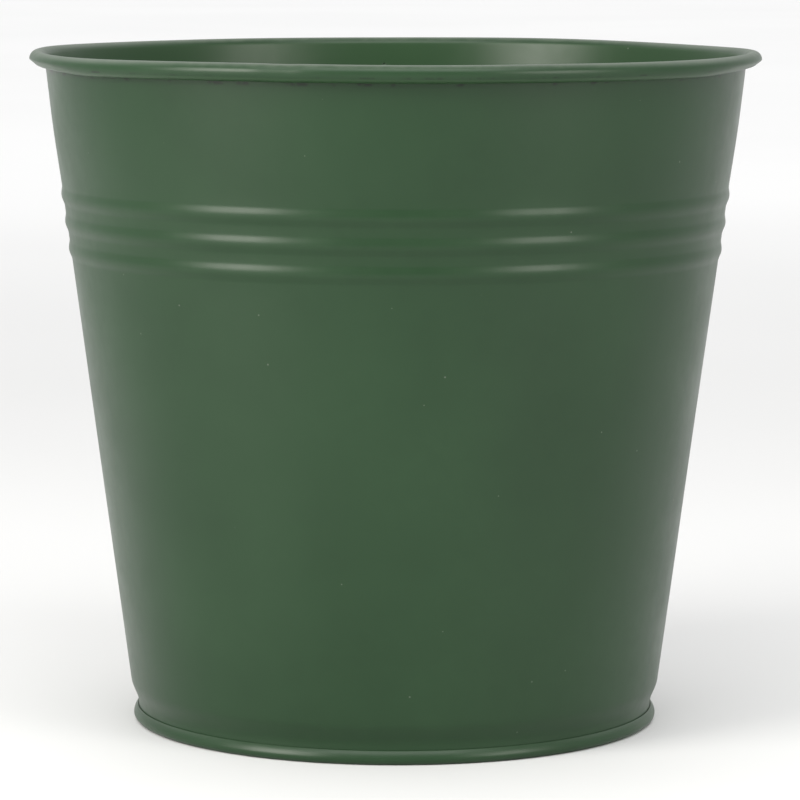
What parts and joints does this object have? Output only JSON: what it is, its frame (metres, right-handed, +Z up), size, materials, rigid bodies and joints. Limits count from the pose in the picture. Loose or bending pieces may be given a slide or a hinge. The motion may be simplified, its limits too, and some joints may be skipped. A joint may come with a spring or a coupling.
{
  "type": "florist bucket",
  "caption": "Small tapered tin bucket for flowers, painted dark green, with a wired rolled rim, rolled ribs near the top and a double-seamed recessed base.",
  "frame": {"origin": "centre of the foot, at the level of the surface the bucket stands on", "axes": "+Z up along the bucket's axis towards the rim, front towards -Y, lock seam at the back towards +Y"},
  "size_m": [0.17, 0.17, 0.157],
  "materials": {
    "green_paint": "satin dark green paint",
    "green_paint_base": "satin dark green paint",
    "rim_steel": "drawn galvanised wire",
    "seam_compound": "matt grey",
    "seam_sealant": "matt, painted over"
  },
  "bodies": {
    "root": {"body_shell": "green_paint", "base_pan": "green_paint_base", "rim_wire": "rim_steel", "base_seam_sealant": "seam_compound", "side_seam_sealant": "seam_sealant"}
  },
  "joints": []
}
